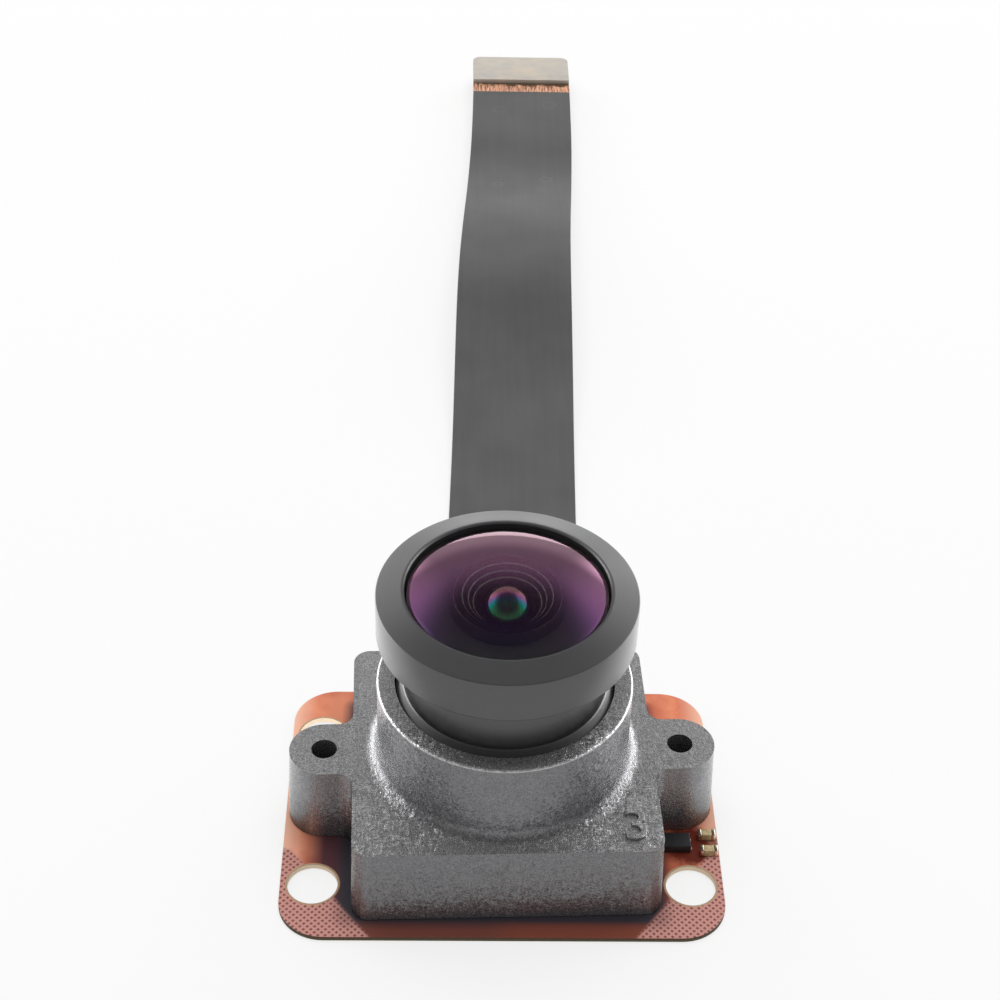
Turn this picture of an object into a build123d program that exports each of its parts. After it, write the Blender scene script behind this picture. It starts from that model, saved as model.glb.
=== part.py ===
from build123d import *
from math import cos, hypot, pi, radians, sin, sqrt, tan
import os

# A fixed-focus camera module: a screw-in lens in a moulded holder, glued on a small board that is
# one flexible circuit with its ribbon tail. Millimetres. The origin is under the middle of the
# board, +Z points to the front of the lens and the ribbon leaves the board's back edge along +Y.

# Board, as its margins round the holder
board_side_margin = 0.35
board_end_margin = 1.5
board_corner_radius = 2.55
stiffener_thickness = 0.16
flex_thickness = 0.14
corner_hole_radius = 1.4
corner_hole_inset_x = 1.8
corner_hole_inset_y = 3.7
hole_plating = 0.06

# Moulded holder, sizes at the top of its block
glue_thickness = 0.05
glue_margin = 0.15
holder_turn = 1.8
block_width = 16.8
block_depth = 16.0
block_height = 4.95
block_corner_radius = 0.95
draft = 1.5
lug_spacing = 20.0
lug_radius = 1.95
lug_hole_radius = 0.72
lug_fillet = 0.8
tower_radius = 7.0
tower_height = 5.25
tower_flare = 0.8
cavity_width = 13.6
cavity_depth = 12.8
cavity_height = 2.5
cavity_corner_radius = 0.8
web_thickness = 0.8
web_aperture_radius = 4.2

# Filter glass in its recess
filter_side = 9.0
filter_thickness = 0.3
filter_clearance = 0.2
filter_recess_depth = 0.35

# Image sensor
package_width = 9.6
package_depth = 8.4
package_height = 1.3
package_wall = 0.9
package_floor = 0.5
die_width = 6.4
die_depth = 5.4
die_thickness = 0.2
cover_margin = 0.2
cover_thickness = 0.4

# Lens barrel
thread_radius = 5.93
thread_clearance = 0.07
barrel_lift = 0.4
thread_length = 5.88
thread_lead_in = 0.3
neck_radius = 5.55
head_radius = 7.0
head_height = 2.54
head_cone_height = 0.37
lip_width = 0.20
lip_guard = 0.26
glass_side_gap = 0.10
stack_clearance = 0.05
retaining_step = 0.7
rear_opening_radius = 2.4
seal_thickness = 0.3
seal_gap = 0.4
seal_width = 0.81

# Front glass
front_rim_height = 2.05
front_curve = 11.5
front_rear_curve = 6.0
front_rear_semi = 2.8

# Stack behind the front glass, from the back to the front
stack_radius = 4.15
rear_thickness = 1.35
rear_curve = 6.0
rear_semi = 1.5
spacer_b_thickness = 0.6
spacer_b_hole_radius = 2.0
fifth_thickness = 0.9
cemented_curve = 5.0
cemented_semi = 1.4
cement_gap = 0.02
fourth_thickness = 1.0
stop_thickness = 0.15
stop_hole_radius = 1.1
third_thickness = 1.2
third_curve = 4.5
third_semi = 1.4
spacer_a_thickness = 0.9
spacer_a_hole_radius = 1.8
second_thickness = 1.4
second_curve = 2.3
second_semi = 1.6
baffle_height = 2.15
baffle_radii = [3.3, 2.8, 2.35]
baffle_drop = 0.72

# Chip capacitors and the small chip beside the right lug
capacitor_length = 1.0
capacitor_depth = 0.5
capacitor_height = 0.5
capacitor_end = 0.22
capacitor_body_inset = 0.02
capacitor_places = [(11.66, -2.23), (11.70, -3.42)]
chip_length = 1.5
chip_depth = 1.03
chip_height = 0.55
chip_place = (9.92, -2.85)
pad_reach = 0.1
pad_width = 0.22
pad_height = 0.2
pad_spacing = 0.62

# Ribbon tail and its connector
tail_width = 8.6
bend_share = 0.45
connector_height = 1.8
bare_copper_length = 1.6
plate_length = 4.4
plate_thickness = 0.36
plate_corner_radius = 0.7
plug_length = 7.4
plug_width = 3.0
plug_wall = 0.75
plug_groove_depth = 1.0
contact_pitch = 0.5
contact_count = 12
contact_width = 0.2
contact_thickness = 0.12
contact_foot = 0.35
contact_drop = 1.1

# Places on the board worked out from the sizes above
board_width = lug_spacing + 2 * (lug_radius + board_side_margin)
board_depth = block_depth + 2 * board_end_margin
corner_hole_spacing_x = board_width - 2 * corner_hole_inset_x
corner_hole_spacing_y = board_depth - 2 * corner_hole_inset_y

# Radii of the front glass and its seal, outside the stack
seal_inner_radius = stack_radius + seal_gap
front_rim_radius = seal_inner_radius + seal_width

# Heights
flex_top = stiffener_thickness + flex_thickness
flex_middle = stiffener_thickness + flex_thickness / 2
block_base = flex_top + glue_thickness
block_top = block_base + block_height
rim_top = block_top + tower_height
recess_base = block_base + cavity_height
web_base = recess_base + filter_recess_depth
web_top = web_base + web_thickness
bore_radius = thread_radius + thread_clearance

barrel_base = web_top + barrel_lift
thread_top = barrel_base + thread_length
stack_base = barrel_base + retaining_step

spacer_b_base = stack_base + rear_thickness
fifth_base = spacer_b_base + spacer_b_thickness
fourth_base = fifth_base + fifth_thickness
stop_base = fourth_base + fourth_thickness
third_base = stop_base + stop_thickness
spacer_a_base = third_base + third_thickness
second_base = spacer_a_base + spacer_a_thickness
baffle_base = second_base + second_thickness
front_seat = baffle_base + baffle_height
lip_top = front_seat + front_rim_height + lip_guard
head_top = lip_top - head_cone_height
head_base = head_top - head_height

tail_end_middle = connector_height + flex_thickness / 2

# The ribbon's route: across, behind the board's back edge, and up. It lies almost flat behind the
# board, rises over a hump and comes down to the height of its connector.
tail_route = [
    (0.80, 0.0, flex_middle),
    (0.92, 7.5, flex_middle),
    (1.12, 16.5, 0.22),
    (1.33, 25.0, 0.62),
    (1.44, 31.5, 2.35),
    (1.54, 37.5, 3.75),
    (1.70, 43.5, 3.85),
    (1.98, 50.5, 3.05),
    (2.42, 58.5, 2.20),
    (2.80, 67.5, tail_end_middle),
    (2.92, 75.4, tail_end_middle),
]


def turned(profile):
    """A turned piece: a closed outline of (radius, height) spun round the lens's axis."""
    return revolve(Plane.XZ * make_face(profile), Axis.Z)


def washer(outer, inner, base, thickness):
    return turned(
        Polyline(
            (inner, base),
            (outer, base),
            (outer, base + thickness),
            (inner, base + thickness),
            close=True,
        )
    )


def ground_surface(edge_height, semi, curve):
    """Half section of a ground surface, from the axis out. A positive curve bulges upwards."""
    if curve == 0:
        return Line((0, edge_height), (semi, edge_height))
    way = 1 if curve > 0 else -1
    apex = edge_height + way * (abs(curve) - sqrt(curve**2 - semi**2))
    half = semi / 2
    half_height = apex - way * (abs(curve) - sqrt(curve**2 - half**2))
    return ThreePointArc((0, apex), (half, half_height), (semi, edge_height))


def glass(rim_radius, base, thickness, rear=(0, 1.0), front=(0, 1.0)):
    """A lens element with a plain rim. rear and front are (curve, semi-aperture)."""
    top = base + thickness
    rear_line = ground_surface(base, rear[1], rear[0])
    front_line = ground_surface(top, front[1], front[0])
    rim = [(rear[1], base), (rim_radius, base), (rim_radius, top)]
    if front[1] < rim_radius:
        rim.append((front[1], top))
    axis = Line(front_line @ 0, rear_line @ 0)
    return turned([rear_line, Polyline(*rim), front_line, axis])


def at_corner_holes(shape):
    """The shape repeated at the board's four screw holes."""
    return GridLocations(corner_hole_spacing_x, corner_hole_spacing_y, 2, 2) * shape


def board_layer(base, thickness):
    """One layer of the board, with its rounded corners and room for the four lined screw holes."""
    outline = RectangleRounded(board_width, board_depth, board_corner_radius)
    holes = at_corner_holes(Circle(corner_hole_radius + hole_plating))
    return extrude(Pos(0, 0, base) * (outline - holes), thickness)


def make_flex_board():
    """The flexible circuit, whose copper lines the screw holes down through the stiffener."""
    lining = Circle(corner_hole_radius + hole_plating) - Circle(corner_hole_radius)
    linings = [extrude(face, flex_top) for face in at_corner_holes(lining)]
    return board_layer(stiffener_thickness, flex_thickness) + linings


def holder_outline(grown):
    """The block with its lugs seen from above, grown by the draft at lower levels."""
    block = RectangleRounded(
        block_width + 2 * grown, block_depth + 2 * grown, block_corner_radius + grown
    )
    lugs = SlotCenterToCenter(lug_spacing, 2 * (lug_radius + grown))
    outline = block + lugs
    side = block_width / 2 + grown
    reach = lug_radius + grown
    inner_corners = [
        corner
        for corner in outline.vertices()
        if hypot(abs(corner.X) - side, abs(corner.Y) - reach) < block_corner_radius / 10
    ]
    return fillet(inner_corners, lug_fillet - grown)


def make_holder():
    """Block, lugs and tower moulded in one, hollow below for the sensor and bored for the lens."""
    grown = block_height * tan(radians(draft))
    block = extrude(Pos(0, 0, block_base) * holder_outline(grown), block_height, taper=draft)
    foot_radius = tower_radius + tower_flare
    foot_top = block_top + tower_flare
    foot = [
        (foot_radius - tower_flare * sin(turn), foot_top - tower_flare * cos(turn))
        for turn in (0, pi / 4, pi / 2)
    ]
    tower = turned(
        Polyline(
            (0, web_base),
            (foot_radius, web_base),
            *foot,
            (tower_radius, rim_top),
            (0, rim_top),
            close=True,
        )
    )
    bore = Pos(0, 0, web_top) * extrude(Circle(bore_radius), rim_top - web_top)
    aperture = Pos(0, 0, web_base) * extrude(Circle(web_aperture_radius), web_thickness)
    cavity = Pos(0, 0, block_base) * extrude(
        RectangleRounded(cavity_width, cavity_depth, cavity_corner_radius), cavity_height
    )
    recess_side = filter_side + 2 * filter_clearance
    recess = Pos(0, 0, recess_base) * extrude(Rectangle(recess_side, recess_side), filter_recess_depth)
    lug_holes = Locations((-lug_spacing / 2, 0, 0), (lug_spacing / 2, 0, 0))
    hole = Pos(0, 0, block_base) * extrude(Circle(lug_hole_radius), block_height)
    holes = [place * hole for place in lug_holes]
    return Rot(0, 0, holder_turn) * (block + tower - bore - aperture - cavity - recess - holes)


def make_glue():
    bed = RectangleRounded(
        block_width - 2 * glue_margin, block_depth - 2 * glue_margin, block_corner_radius
    )
    hollow = RectangleRounded(cavity_width, cavity_depth, cavity_corner_radius)
    return Rot(0, 0, holder_turn) * extrude(Pos(0, 0, flex_top) * (bed - hollow), glue_thickness)


def make_sensor():
    """Open ceramic tray on the board, the chip in it and the glass lid on it."""
    tray = extrude(Rectangle(package_width, package_depth), package_height)
    well = Rectangle(package_width - 2 * package_wall, package_depth - 2 * package_wall)
    tray -= Pos(0, 0, package_floor) * extrude(well, package_height - package_floor)
    die = Pos(0, 0, package_floor) * extrude(Rectangle(die_width, die_depth), die_thickness)
    lid_outline = Rectangle(package_width - 2 * cover_margin, package_depth - 2 * cover_margin)
    lid = Pos(0, 0, package_height) * extrude(lid_outline, cover_thickness)
    return [Pos(0, 0, flex_top) * piece for piece in (tray, die, lid)]


def make_filter():
    pane = extrude(Rectangle(filter_side, filter_side), filter_thickness)
    return Rot(0, 0, holder_turn) * Pos(0, 0, web_base - filter_thickness) * pane


def make_barrel():
    """Turned barrel: thread, lead-in to a neck, wide head with a coned front and a thin lip."""
    counterbore = front_rim_radius + glass_side_gap
    lip_outer = counterbore + lip_width
    stack_bore = stack_radius + stack_clearance
    shoulder = thread_radius - neck_radius
    seal_seat = front_seat - seal_thickness
    outside = [
        (rear_opening_radius, barrel_base),
        (thread_radius - thread_lead_in, barrel_base),
        (thread_radius, barrel_base + thread_lead_in),
        (thread_radius, thread_top),
        (neck_radius, thread_top + shoulder),
        (neck_radius, head_base),
        (head_radius, head_base),
        (head_radius, head_top),
        (lip_outer, lip_top),
    ]
    inside = [
        (counterbore, lip_top),
        (counterbore, seal_seat),
        (stack_bore, seal_seat),
        (stack_bore, stack_base),
        (rear_opening_radius, stack_base),
    ]
    return turned(Polyline(*outside, *inside, close=True))


def make_baffle():
    """Black ring with steps that narrow towards the second glass."""
    outline = [(stack_radius, baffle_base), (stack_radius, front_seat)]
    height = front_seat
    for inner in baffle_radii[:-1]:
        outline.append((inner, height))
        height -= baffle_drop
        outline.append((inner, height))
    outline.append((baffle_radii[-1], height))
    outline.append((baffle_radii[-1], baffle_base))
    return turned(Polyline(*outline, close=True))


def make_capacitors():
    bodies = []
    ends = []
    body_length = capacitor_length - 2 * capacitor_end
    body = Box(
        body_length,
        capacitor_depth - 2 * capacitor_body_inset,
        capacitor_height - 2 * capacitor_body_inset,
    )
    end = Box(capacitor_end, capacitor_depth, capacitor_height)
    middle = flex_top + capacitor_height / 2
    end_reach = (capacitor_length - capacitor_end) / 2
    for x, y in capacitor_places:
        bodies.append(Pos(x, y, middle) * body)
        ends.append(Pos(x - end_reach, y, middle) * end)
        ends.append(Pos(x + end_reach, y, middle) * end)
    return bodies, ends


def make_chip():
    x, y = chip_place
    body = Pos(x, y, flex_top + chip_height / 2) * Box(chip_length, chip_depth, chip_height)
    pad = Box(pad_reach, pad_width, pad_height)
    reach = (chip_length + pad_reach) / 2
    places = GridLocations(2 * reach, pad_spacing, 2, 2)
    pads = [Pos(x, y, flex_top + pad_height / 2) * place * pad for place in places]
    return body, pads


def fillets_of(points):
    """Radius of each corner's arc: its share of the shorter run over the tangent of half the turn."""
    radii = []
    for before, here, after in zip(points, points[1:], points[2:]):
        run_in = Vector(*here) - Vector(*before)
        run_out = Vector(*after) - Vector(*here)
        turn = radians(run_in.get_angle(run_out))
        radii.append(bend_share * min(run_in.length, run_out.length) / tan(turn / 2))
    return radii


def make_tail():
    """The free ribbon: its side view with round bends, cut to its outline from above.

    Seen from above it turns by less than two degrees at each point, so those runs stay straight.
    """
    back_edge = board_depth / 2
    side = [(back_edge + behind, up) for across, behind, up in tail_route]
    side_radii = fillets_of(side)
    centre_line = FilletPolyline(*side, radius=side_radii)
    strip = trace(centre_line, flex_thickness)
    slab = extrude(Plane.YZ * strip, 2 * tail_width, both=True)
    left = [(across - tail_width / 2, back_edge + behind) for across, behind, up in tail_route]
    right = [(across + tail_width / 2, back_edge + behind) for across, behind, up in tail_route]
    outline = make_face(Polyline(*left, *reversed(right), close=True))
    highest = max(up for across, behind, up in tail_route)
    ribbon = slab & extrude(outline, 2 * highest)
    print("ribbon bend radii, side view:", [round(radius, 1) for radius in side_radii])
    print("ribbon centre line length:", round(centre_line.length, 2))
    print("section times length:", round(centre_line.length * tail_width * flex_thickness, 2))
    print("ribbon volume:", round(ribbon.volume, 2))
    return ribbon


def make_tail_end():
    """End of the ribbon with bare copper, the plate on it and the plug with its contacts below."""
    across, behind, middle = tail_route[-1]
    start = board_depth / 2 + behind
    end_length = bare_copper_length + plate_length
    under = middle - flex_thickness / 2
    over = middle + flex_thickness / 2
    strip = Pos(across, start + end_length / 2, under) * extrude(
        Rectangle(tail_width, end_length), flex_thickness
    )
    strip = fillet(strip.edges().filter_by(Axis.Z).group_by(Axis.Y)[-1], plate_corner_radius)
    plate_middle = start + bare_copper_length + plate_length / 2
    plate = Pos(across, plate_middle, over) * extrude(Rectangle(tail_width, plate_length), plate_thickness)
    plate = fillet(plate.edges().filter_by(Axis.Z).group_by(Axis.Y)[-1], plate_corner_radius)
    plug = extrude(Rectangle(plug_length, plug_width), under)
    groove = extrude(
        Rectangle(plug_length - 2 * plug_wall, plug_width - 2 * plug_wall), plug_groove_depth
    )
    plug = Pos(across, plate_middle, 0) * (plug - groove)
    drop = Pos(0, (plug_width + contact_thickness) / 2, under - contact_drop / 2) * Box(
        contact_width, contact_thickness, contact_drop
    )
    foot_reach = plug_width / 2 + contact_thickness + contact_foot / 2
    foot = Pos(0, foot_reach, under - contact_thickness / 2) * Box(
        contact_width, contact_foot, contact_thickness
    )
    contact = drop + foot
    contacts = []
    for number in range(contact_count):
        place = Pos(across + (number - (contact_count - 1) / 2) * contact_pitch, plate_middle, 0)
        contacts.append(place * contact)
        contacts.append(place * Rot(0, 0, 180) * contact)
    return strip, plate, plug, contacts


tray, die, lid = make_sensor()
capacitor_bodies, capacitor_ends = make_capacitors()
chip, chip_pads = make_chip()
end_strip, end_plate, plug, contacts = make_tail_end()

pieces = {
    "flex_board": make_flex_board(),
    "board_stiffener": board_layer(0, stiffener_thickness),
    "lens_mount": make_holder(),
    "mount_adhesive": make_glue(),
    "sensor_package": tray,
    "sensor_die": die,
    "sensor_cover_glass": lid,
    "ir_filter": make_filter(),
    "lens_barrel": make_barrel(),
    "front_seal": washer(
        front_rim_radius, seal_inner_radius, front_seat - seal_thickness, seal_thickness
    ),
    "front_element": glass(
        front_rim_radius,
        front_seat,
        front_rim_height,
        rear=(front_rear_curve, front_rear_semi),
        front=(front_curve, front_rim_radius),
    ),
    "baffle_ring": make_baffle(),
    "second_element": glass(
        stack_radius, second_base, second_thickness, front=(second_curve, second_semi)
    ),
    "spacer_ring_a": washer(stack_radius, spacer_a_hole_radius, spacer_a_base, spacer_a_thickness),
    "third_element": glass(stack_radius, third_base, third_thickness, front=(third_curve, third_semi)),
    "aperture_stop": washer(stack_radius, stop_hole_radius, stop_base, stop_thickness),
    "fourth_element": glass(
        stack_radius, fourth_base, fourth_thickness, rear=(cemented_curve, cemented_semi)
    ),
    "fifth_element": glass(
        stack_radius,
        fifth_base,
        fifth_thickness,
        front=(cemented_curve, cemented_semi - 2 * cement_gap),
    ),
    "spacer_ring_b": washer(stack_radius, spacer_b_hole_radius, spacer_b_base, spacer_b_thickness),
    "rear_element": glass(stack_radius, stack_base, rear_thickness, rear=(-rear_curve, rear_semi)),
    "capacitor_bodies": Compound(children=capacitor_bodies),
    "capacitor_ends": Compound(children=capacitor_ends),
    "chip_body": chip,
    "chip_pads": Compound(children=chip_pads),
    "flex_tail": make_tail(),
    "tail_end_flex": end_strip,
    "connector_stiffener": end_plate,
    "connector_body": plug,
    "connector_contacts": Compound(children=contacts),
}

os.makedirs("parts", exist_ok=True)
for name, piece in pieces.items():
    export_step(piece, os.path.join("parts", name + ".step"))
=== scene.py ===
# A fixed-focus camera module: a wide glass lens screwed into a moulded holder on a small flexible
# circuit, whose flat ribbon runs back to a plug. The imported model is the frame, in metres.
from math import cos, hypot, radians, sin, sqrt

import bmesh
import bpy
from mathutils import Matrix, Vector


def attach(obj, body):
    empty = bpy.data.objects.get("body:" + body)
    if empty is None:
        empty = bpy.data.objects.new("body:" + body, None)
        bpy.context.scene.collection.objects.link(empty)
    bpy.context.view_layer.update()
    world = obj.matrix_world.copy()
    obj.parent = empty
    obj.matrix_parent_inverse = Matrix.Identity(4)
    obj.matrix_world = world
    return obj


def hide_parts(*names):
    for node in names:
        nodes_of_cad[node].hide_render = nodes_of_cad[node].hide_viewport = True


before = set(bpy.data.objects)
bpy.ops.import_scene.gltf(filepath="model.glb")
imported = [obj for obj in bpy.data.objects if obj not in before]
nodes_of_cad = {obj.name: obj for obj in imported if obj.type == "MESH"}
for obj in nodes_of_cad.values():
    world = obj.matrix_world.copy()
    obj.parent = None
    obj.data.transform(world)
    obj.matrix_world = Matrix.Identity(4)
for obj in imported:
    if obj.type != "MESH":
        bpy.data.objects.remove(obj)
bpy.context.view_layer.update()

bpy.ops.object.select_all(action="DESELECT")

# Camera
# A long lens looks down on the module from the front, a little to its left, as in the photograph.
# Its place was solved from the board's corners, the lugs and the rings of the lens.
camera_place = (-0.00308, -0.082127, 0.088462)
camera_yaw = radians(1.763)
camera_pitch = radians(38.553)
camera_roll = radians(1.659)
camera_focal_length = 74.43
ahead = Vector(
    (sin(camera_yaw) * cos(camera_pitch), cos(camera_yaw) * cos(camera_pitch), -sin(camera_pitch))
)
level = Vector((cos(camera_yaw), -sin(camera_yaw), 0))
upward = level.cross(ahead)
camera_right = level * cos(camera_roll) + upward * sin(camera_roll)
camera_up = upward * cos(camera_roll) - level * sin(camera_roll)
bpy.ops.object.camera_add(location=camera_place)
camera = bpy.context.object
camera.name = "photo_camera"
turn = Matrix((camera_right, camera_up, -ahead)).transposed().to_4x4()
camera.matrix_world = Matrix.Translation(camera_place) @ turn
camera.data.lens = camera_focal_length
camera.data.sensor_width = 36
camera.data.clip_start = 0.001
camera.data.clip_end = 20
bpy.context.scene.camera = camera

# Studio
# A light tent: a white sweep under the module, soft panels behind it at the left and right and a
# broad soft box above. Dull faces are lit by the lamps. Shiny ones mirror the tent's white walls,
# which are brightest low at the back and dim towards the front and the open top.
lamps = {
    "left_panel": ((-0.30, 0.30, 0.11), (0.30, 0.26), 0.45),
    "right_panel": ((0.30, 0.30, 0.11), (0.30, 0.26), 0.45),
    "top_box": ((0.0, 0.10, 0.55), (0.50, 0.40), 1.90),
}
lamp_target = Vector((0, 0.01, 0.005))
for name, (place, size, power) in lamps.items():
    bpy.ops.object.light_add(type="AREA", location=place)
    lamp = bpy.context.object
    lamp.name = name
    lamp.data.shape = "RECTANGLE"
    lamp.data.size, lamp.data.size_y = size
    lamp.data.energy = power
    lamp.visible_glossy = False
    lamp.visible_transmission = False
    lamp.rotation_euler = (lamp_target - Vector(place)).to_track_quat("-Z", "Y").to_euler()


def add_node(tree, kind, inputs=None, **settings):
    """One shader node with its settings; an input that is a socket is linked, another is set."""
    made = tree.nodes.new("ShaderNode" + kind)
    for key, value in settings.items():
        setattr(made, key, value)
    for key, value in (inputs or {}).items():
        if isinstance(value, bpy.types.NodeSocket):
            tree.links.new(value, made.inputs[key])
        else:
            made.inputs[key].default_value = value
    return made


def calculate(tree, operation, first, second=0.0, third=0.0):
    """The result of one Math node."""
    values = {0: first, 1: second, 2: third}
    return add_node(tree, "Math", values, operation=operation).outputs[0]


def product(tree, first, second):
    return calculate(tree, "MULTIPLY", first, second)


def split_axes(tree, vector):
    """The x, y and z of a vector."""
    return add_node(tree, "SeparateXYZ", {0: vector}).outputs


def spread(tree, value, low, high, to_low=0.0, to_high=1.0, step="LINEAR"):
    """value from low..high to to_low..to_high, clamped; SMOOTHSTEP starts and ends softly."""
    return add_node(
        tree,
        "MapRange",
        {"Value": value, "From Min": low, "From Max": high, "To Min": to_low, "To Max": to_high},
        interpolation_type=step,
    ).outputs[0]


def mix_shaders(tree, share, first, second):
    """A share of the second shader over the first."""
    return add_node(tree, "MixShader", {0: share, 1: first, 2: second}).outputs[0]


def ray_share(tree, *kinds):
    """1 for the kinds of ray that are named, such as Is Camera Ray, and 0 for the others."""
    path = add_node(tree, "LightPath").outputs
    share = path[kinds[0]]
    for kind in kinds[1:]:
        share = calculate(tree, "MAXIMUM", share, path[kind])
    return share


mirror_rays = ("Is Glossy Ray", "Is Transmission Ray")
tent = bpy.data.worlds.new("white_tent")
tent.use_nodes = True
bpy.context.scene.world = tent
tree = tent.node_tree
tree.nodes.clear()
skyward = split_axes(tree, add_node(tree, "TexCoord").outputs["Generated"])
sideways = calculate(tree, "ABSOLUTE", skyward[0])
side_share = spread(tree, sideways, 0.30, 0.62, step="SMOOTHSTEP")
back_share = spread(tree, skyward[1], -0.1, 0.4, step="SMOOTHSTEP")
low_share = spread(tree, skyward[2], 0.10, 0.32, 4.6, 0.5, "SMOOTHSTEP")
straight = spread(tree, skyward[2], 0.10, 0.34, 0.72, 0.40, "SMOOTHSTEP")
upper = spread(tree, skyward[2], 0.50, 0.84, 1.0, 0.16, "SMOOTHSTEP")
front = spread(tree, skyward[1], -0.6, 0.3, 0.35, 1.0, "SMOOTHSTEP")
wall = product(tree, side_share, back_share)
wall = calculate(tree, "MULTIPLY_ADD", wall, low_share, straight)
wall = product(tree, wall, upper)
wall = product(tree, wall, front)
fill, walls, backdrop = [
    add_node(tree, "Background", {"Color": (1, 1, 1, 1), "Strength": strength}).outputs[0]
    for strength in (0.36, wall, 1.0)
]
reflected = mix_shaders(tree, ray_share(tree, *mirror_rays), fill, walls)
seen = mix_shaders(tree, ray_share(tree, "Is Camera Ray"), reflected, backdrop)
add_node(tree, "OutputWorld", {"Surface": seen})

# The sweep shines a little for the camera, and more in reflections behind the module.
bpy.ops.mesh.primitive_plane_add(size=6, location=(0, 0, -0.00002))
sweep = bpy.context.object
sweep.name = "white_sweep"
paper = bpy.data.materials.new("white_paper")
paper.use_nodes = True
tree = paper.node_tree
tree.nodes.clear()
matt, grey = [
    add_node(tree, "BsdfDiffuse", {"Color": (light, light, light, 1)}).outputs[0]
    for light in (0.86, 0.55)
]
behind = split_axes(tree, add_node(tree, "TexCoord").outputs["Object"])[1]
white, mirrored = [
    add_node(tree, "Emission", {"Color": (1, 1, 1, 1), "Strength": strength}).outputs[0]
    for strength in (1.05, spread(tree, behind, -0.008, 0.014, 0.42, 2.5))
]
lifted = mix_shaders(tree, 0.66, matt, white)
lit = mix_shaders(tree, 0.7, matt, mirrored)
bounce = mix_shaders(tree, ray_share(tree, *mirror_rays), grey, lit)
shade = mix_shaders(tree, ray_share(tree, "Is Camera Ray"), bounce, lifted)
add_node(tree, "OutputMaterial", {"Surface": shade})
sweep.data.materials.append(paper)

# Ribbon tail
# The free stretch of the flexible circuit: copper tracks between polyimide films under a dark
# grey shield film, cut to one width. It lies behind the board, lifts over a hump and ends flat.
tail_width = 8.6
film_thickness = 0.14
board_back = 9.5
board_flex_middle = 0.23
plug_height = 1.8
tail_end_middle = plug_height + film_thickness / 2
tail_route = [
    (0.80, 0.0, board_flex_middle),
    (0.92, 7.5, board_flex_middle),
    (1.12, 16.5, 0.22),
    (1.33, 25.0, 0.62),
    (1.44, 31.5, 2.35),
    (1.54, 37.5, 3.75),
    (1.70, 43.5, 3.85),
    (1.98, 50.5, 3.05),
    (2.42, 58.5, 2.20),
    (2.80, 67.5, tail_end_middle),
    (2.92, 75.4, tail_end_middle),
]
ring_marks = [(0.96, 81.5), (5.31, 82.4), (0.62, 67.7), (4.59, 68.7)]
mark_radius = 0.56
# Lightness along the ribbon as (millimetres behind the board, share): painted light and shade on its
# hump and bends.
tail_painted_lightness = [
    (20.0, 1.15),
    (31.0, 1.20),
    (38.0, 1.30),
    (48.0, 0.97),
    (56.0, 1.15),
    (65.0, 1.75),
    (74.5, 1.10),
    (80.0, 1.35),
]
millimetre = 0.001


def new_finish(name, colour, roughness, **sockets):
    """A material with its shader's own sockets set; returns it with its tree and shader."""
    material = bpy.data.materials.new(name)
    material.use_nodes = True
    shader = material.node_tree.nodes["Principled BSDF"]
    shader.inputs["Base Color"].default_value = (*colour, 1)
    shader.inputs["Roughness"].default_value = roughness
    for key, value in sockets.items():
        shader.inputs[key.replace("_", " ")].default_value = value
    return material, material.node_tree, shader


def feed(shader, **sources):
    """Links sockets to the shader's inputs of these names."""
    for key, source in sources.items():
        shader.id_data.links.new(source, shader.inputs[key.replace("_", " ")])


def in_millimetres(tree, stretch=(1, 1, 1), turned_by=0):
    """Object coordinates in millimetres, stretched along the axes."""
    place = add_node(tree, "TexCoord")
    scale = tuple(1000 * amount for amount in stretch)
    values = {"Vector": place.outputs["Object"], "Scale": scale, "Rotation": (0, 0, turned_by)}
    return add_node(tree, "Mapping", values).outputs[0]


def noise(tree, where, scale, detail=3.0, roughness=0.5, distortion=0.0):
    values = {"Vector": where, "Scale": scale, "Detail": detail, "Roughness": roughness}
    values["Distortion"] = distortion
    return add_node(tree, "TexNoise", values).outputs["Fac"]


def blend_colours(tree, share, first, second):
    """Colour between first and second, which are colours or sockets."""
    mixed = add_node(tree, "Mix", data_type="RGBA")
    tree.links.new(share, mixed.inputs["Factor"])
    for socket, colour in zip((mixed.inputs[6], mixed.inputs[7]), (first, second)):
        if isinstance(colour, bpy.types.NodeSocket):
            tree.links.new(colour, socket)
        else:
            socket.default_value = (*colour, 1)
    return mixed.outputs[2]


def grade(tree, value, low, high, first, second):
    """The first colour where value is low, the second where it is high, and blends between."""
    return blend_colours(tree, spread(tree, value, low, high), first, second)


def combine_vectors(tree, operation, first, second=(0, 0, 0)):
    """The result of one Vector Math node: a number for DISTANCE and LENGTH, else a vector."""
    made = add_node(tree, "VectorMath", {0: first, 1: second}, operation=operation)
    return made.outputs["Value" if operation in ("DISTANCE", "LENGTH") else "Vector"]


def scaled(tree, vector, amount):
    values = {0: vector, 3: amount}
    return add_node(tree, "VectorMath", values, operation="SCALE").outputs[0]


def add_relief(tree, shader, height, depth, strength=1.0):
    """Bump from a height socket; depth is its real depth in millimetres."""
    values = {"Height": height, "Strength": strength, "Distance": depth * millimetre}
    feed(shader, Normal=add_node(tree, "Bump", values).outputs[0])


def deselect_all():
    bpy.ops.object.select_all(action="DESELECT")


def apply_place():
    bpy.ops.object.transform_apply(location=True, rotation=True, scale=True)


def place_on_module(piece, replaced=(), smooth_angle=35):
    """Millimetres to metres, faces smoothed, and the piece rides with the module."""
    deselect_all()
    piece.select_set(True)
    bpy.context.view_layer.objects.active = piece
    apply_place()
    piece.scale = (millimetre, millimetre, millimetre)
    apply_place()
    bpy.ops.object.shade_smooth_by_angle(angle=radians(smooth_angle))
    piece.select_set(False)
    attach(piece, "root")
    if replaced:
        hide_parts(*replaced)


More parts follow.
